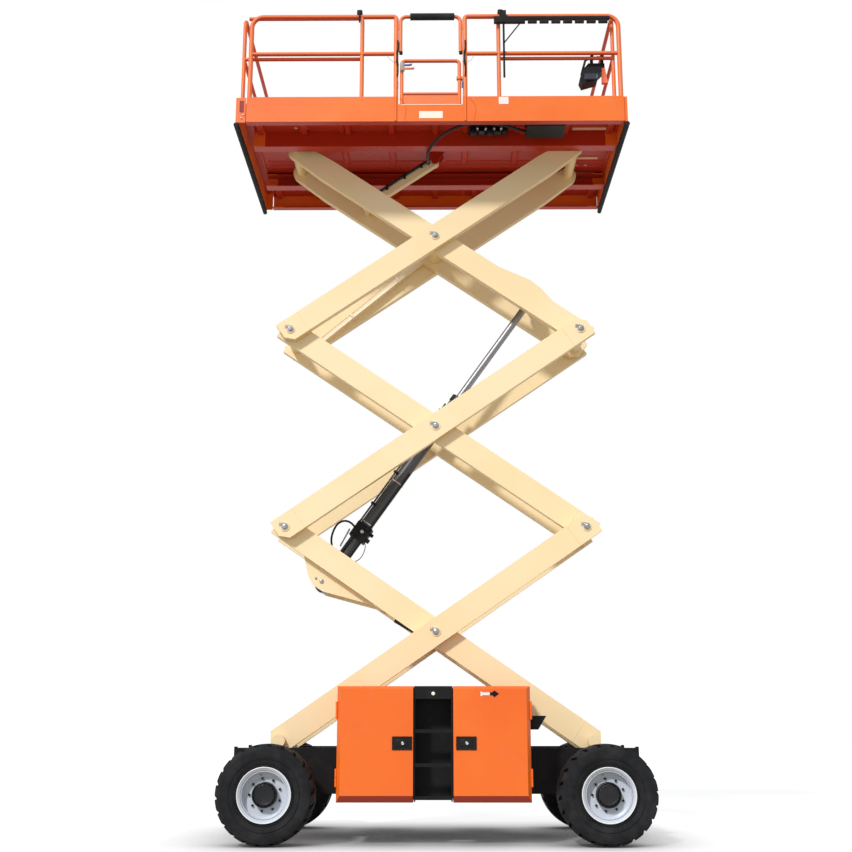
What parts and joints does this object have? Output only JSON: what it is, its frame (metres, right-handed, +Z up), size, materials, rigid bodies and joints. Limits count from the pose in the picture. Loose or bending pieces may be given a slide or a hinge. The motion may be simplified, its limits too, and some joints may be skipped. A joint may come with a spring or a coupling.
{
  "type": "scissor lift",
  "caption": "Rough-terrain scissor lift: wheeled chassis with cabinets, folding arm stack, lift cylinder and railed platform with roll-out decks.",
  "frame": {"origin": "on the ground under the middle of the wheelbase", "axes": "+X is the driving direction, +Y the left-hand side, +Z up"},
  "size_m": [3.011, 1.7514, 6.1669],
  "materials": {
    "cabinet_paint": "semi-gloss orange paint",
    "platform_paint": "semi-gloss orange paint",
    "arm_paint": "satin cream paint",
    "frame_black": "satin black paint",
    "tyre_rubber": "matt rubber",
    "rim_silver": "silver paint",
    "steel": "bare steel",
    "chrome_rod": "hard chrome",
    "cast_grey": "painted casting",
    "tank_grey": "matt",
    "deck_tread": "tread plate",
    "rail_grey": "semi-gloss orange paint",
    "box_black": "moulded plastic",
    "foam_black": "soft foam",
    "bumper_rubber": "rubber"
  },
  "bodies": {
    "chassis": {"chassis_frame": "frame_black", "link_stand": "frame_black", "tie_downs": "frame_black", "slide_strips": "steel", "rear_axle": "frame_black", "front_axle": "frame_black", "engine_block": "cast_grey", "fluid_tanks": "tank_grey", "battery_box": "tank_grey", "cabinets": "cabinet_paint", "ladders": "frame_black"},
    "knuckle_near": {"steering_knuckle_near": "frame_black"},
    "knuckle_far": {"steering_knuckle_far": "frame_black"},
    "tie_rod": {"tie_rod": "steel"},
    "link_lower": {"centring_link_lower": "arm_paint"},
    "link_upper": {"centring_link_upper": "arm_paint"},
    "cylinder_barrel": {"lift_cylinder_barrel": "frame_black"},
    "cylinder_rod": {"lift_cylinder_rod": "chrome_rod"},
    "platform": {"platform_frame": "platform_paint", "platform_deck": "deck_tread", "guard_rails": "rail_grey", "hoop_grip": "foam_black", "cable_track": "box_black", "junction_box": "box_black"},
    "gate": {"entry_gate": "rail_grey"},
    "extension_rear": {"extension_deck_rear": "deck_tread", "extension_rails_rear": "rail_grey", "bumper_rear": "bumper_rubber"},
    "extension_front": {"extension_deck_front": "deck_tread", "extension_rails_front": "rail_grey", "bumper_front": "bumper_rubber", "control_box": "box_black"},
    "wheel_rear_near": {"tyre_rear_near": "tyre_rubber", "wheel_rear_near": "rim_silver"},
    "door_rear_near": {"door_rear_near": "cabinet_paint"},
    "wheel_rear_far": {"tyre_rear_far": "tyre_rubber", "wheel_rear_far": "rim_silver"},
    "door_rear_far": {"door_rear_far": "cabinet_paint"},
    "wheel_front_near": {"tyre_front_near": "tyre_rubber", "wheel_front_near": "rim_silver"},
    "door_front_near": {"door_front_near": "cabinet_paint"},
    "wheel_front_far": {"tyre_front_far": "tyre_rubber", "wheel_front_far": "rim_silver"},
    "door_front_far": {"door_front_far": "cabinet_paint"},
    "inner_1": {"inner_arms_1": "arm_paint"},
    "outer_1": {"outer_arms_1": "arm_paint"},
    "inner_2": {"inner_arms_2": "arm_paint"},
    "outer_2": {"outer_arms_2": "arm_paint"},
    "inner_3": {"inner_arms_3": "arm_paint"},
    "outer_3": {"outer_arms_3": "arm_paint"}
  },
  "joints": [
    {"name": "lift", "type": "hinge", "parent": "chassis", "child": "link_lower", "pos_m": [0, 0, 0.672], "axis": [0, -1, 0], "range_deg": [-30.5, 25.5]},
    {"name": "fold_inner_1", "type": "hinge", "parent": "link_lower", "child": "inner_1", "pos_m": [0.56041, 0, 1.05716], "axis": [0, -1, 0], "range_deg": [-52.2, 62.2]},
    {"name": "fold_outer_1", "type": "hinge", "parent": "inner_1", "child": "outer_1", "pos_m": [0, 0, 1.44231], "axis": [0, -1, 0], "range_deg": [-62.2, 52.2]},
    {"name": "fold_inner_2", "type": "hinge", "parent": "outer_1", "child": "inner_2", "pos_m": [1.12081, 0, 2.21263], "axis": [0, -1, 0], "range_deg": [-52.2, 62.2]},
    {"name": "fold_outer_2", "type": "hinge", "parent": "inner_2", "child": "outer_2", "pos_m": [0, 0, 2.98294], "axis": [0, -1, 0], "range_deg": [-62.2, 52.2]},
    {"name": "fold_inner_3", "type": "hinge", "parent": "outer_2", "child": "inner_3", "pos_m": [1.12081, 0, 3.75325], "axis": [0, -1, 0], "range_deg": [-52.2, 62.2]},
    {"name": "fold_outer_3", "type": "hinge", "parent": "inner_3", "child": "outer_3", "pos_m": [0, 0, 4.52356], "axis": [0, -1, 0], "range_deg": [-62.2, 52.2]},
    {"name": "fold_link_upper", "type": "hinge", "parent": "inner_3", "child": "link_upper", "pos_m": [-0.56041, 0, 4.90872], "axis": [0, -1, 0], "range_deg": [-62.2, 52.2]},
    {"name": "platform_level", "type": "hinge", "parent": "link_upper", "child": "platform", "pos_m": [0, 0, 5.29387], "axis": [0, -1, 0], "range_deg": [-26.2, 31.2]},
    {"name": "cylinder_swing", "type": "hinge", "parent": "inner_1", "child": "cylinder_barrel", "pos_m": [-0.85938, 0, 1.81089], "axis": [0, -1, 0], "range_deg": [-68.4, 57.4]},
    {"name": "cylinder_stroke", "type": "slide", "parent": "cylinder_barrel", "child": "cylinder_rod", "axis": [0.5789, 0, 0.8154], "range_m": [-0.9045, 0.7595]},
    {"name": "steer", "type": "hinge", "parent": "chassis", "child": "knuckle_near", "pos_m": [1.145, -0.52, 0.33], "axis": [0, 0, 1], "range_deg": [-28, 28]},
    {"name": "steer_far", "type": "hinge", "parent": "chassis", "child": "knuckle_far", "pos_m": [1.145, 0.52, 0.33], "axis": [0, 0, 1], "range_deg": [-28.5, 28.5]},
    {"name": "tie_rod_swing", "type": "hinge", "parent": "knuckle_near", "child": "tie_rod", "pos_m": [0.995, -0.52, 0.33], "axis": [0, 0, 1], "range_deg": [-28.5, 28.5]},
    {"name": "spin_rear_near", "type": "hinge", "parent": "chassis", "child": "wheel_rear_near", "pos_m": [-1.145, -0.7225, 0.33], "axis": [0, 1, 0], "continuous": true},
    {"name": "spin_rear_far", "type": "hinge", "parent": "chassis", "child": "wheel_rear_far", "pos_m": [-1.145, 0.7225, 0.33], "axis": [0, 1, 0], "continuous": true},
    {"name": "spin_front_near", "type": "hinge", "parent": "knuckle_near", "child": "wheel_front_near", "pos_m": [1.145, -0.7225, 0.33], "axis": [0, 1, 0], "continuous": true},
    {"name": "spin_front_far", "type": "hinge", "parent": "knuckle_far", "child": "wheel_front_far", "pos_m": [1.145, 0.7225, 0.33], "axis": [0, 1, 0], "continuous": true},
    {"name": "door_rear_near_hinge", "type": "hinge", "parent": "chassis", "child": "door_rear_near", "pos_m": [-0.675, -0.798, 0.66], "axis": [0, 0, -1], "range_deg": [0, 100]},
    {"name": "door_rear_far_hinge", "type": "hinge", "parent": "chassis", "child": "door_rear_far", "pos_m": [-0.675, 0.798, 0.66], "axis": [0, 0, 1], "range_deg": [0, 100]},
    {"name": "door_front_near_hinge", "type": "hinge", "parent": "chassis", "child": "door_front_near", "pos_m": [0.641, -0.798, 0.66], "axis": [0, 0, 1], "range_deg": [0, 100]},
    {"name": "door_front_far_hinge", "type": "hinge", "parent": "chassis", "child": "door_front_far", "pos_m": [0.641, 0.798, 0.66], "axis": [0, 0, -1], "range_deg": [0, 100]},
    {"name": "roll_out_rear", "type": "slide", "parent": "platform", "child": "extension_rear", "axis": [-1, 0, 0], "range_m": [0, 0.6]},
    {"name": "roll_out_front", "type": "slide", "parent": "platform", "child": "extension_front", "axis": [1, 0, 0], "range_m": [0, 0.83]},
    {"name": "gate_swing", "type": "hinge", "parent": "platform", "child": "gate", "pos_m": [0.187, -0.805, 5.71988], "axis": [0, 0, -1], "range_deg": [0, 90]}
  ],
  "couplings": [
    {"joint": "fold_inner_1", "follows": "lift", "ratio": -2},
    {"joint": "fold_outer_1", "follows": "lift", "ratio": 2},
    {"joint": "fold_inner_2", "follows": "lift", "ratio": -2},
    {"joint": "fold_outer_2", "follows": "lift", "ratio": 2},
    {"joint": "fold_inner_3", "follows": "lift", "ratio": -2},
    {"joint": "fold_outer_3", "follows": "lift", "ratio": 2},
    {"joint": "fold_link_upper", "follows": "lift", "ratio": 2},
    {"joint": "platform_level", "follows": "lift", "ratio": -1},
    {"joint": "cylinder_swing", "follows": "lift", "ratio": 2.2},
    {"joint": "cylinder_stroke", "follows": "lift", "m_per_rad": 1.6616},
    {"joint": "steer_far", "follows": "steer", "ratio": 1},
    {"joint": "tie_rod_swing", "follows": "steer", "ratio": -1}
  ]
}
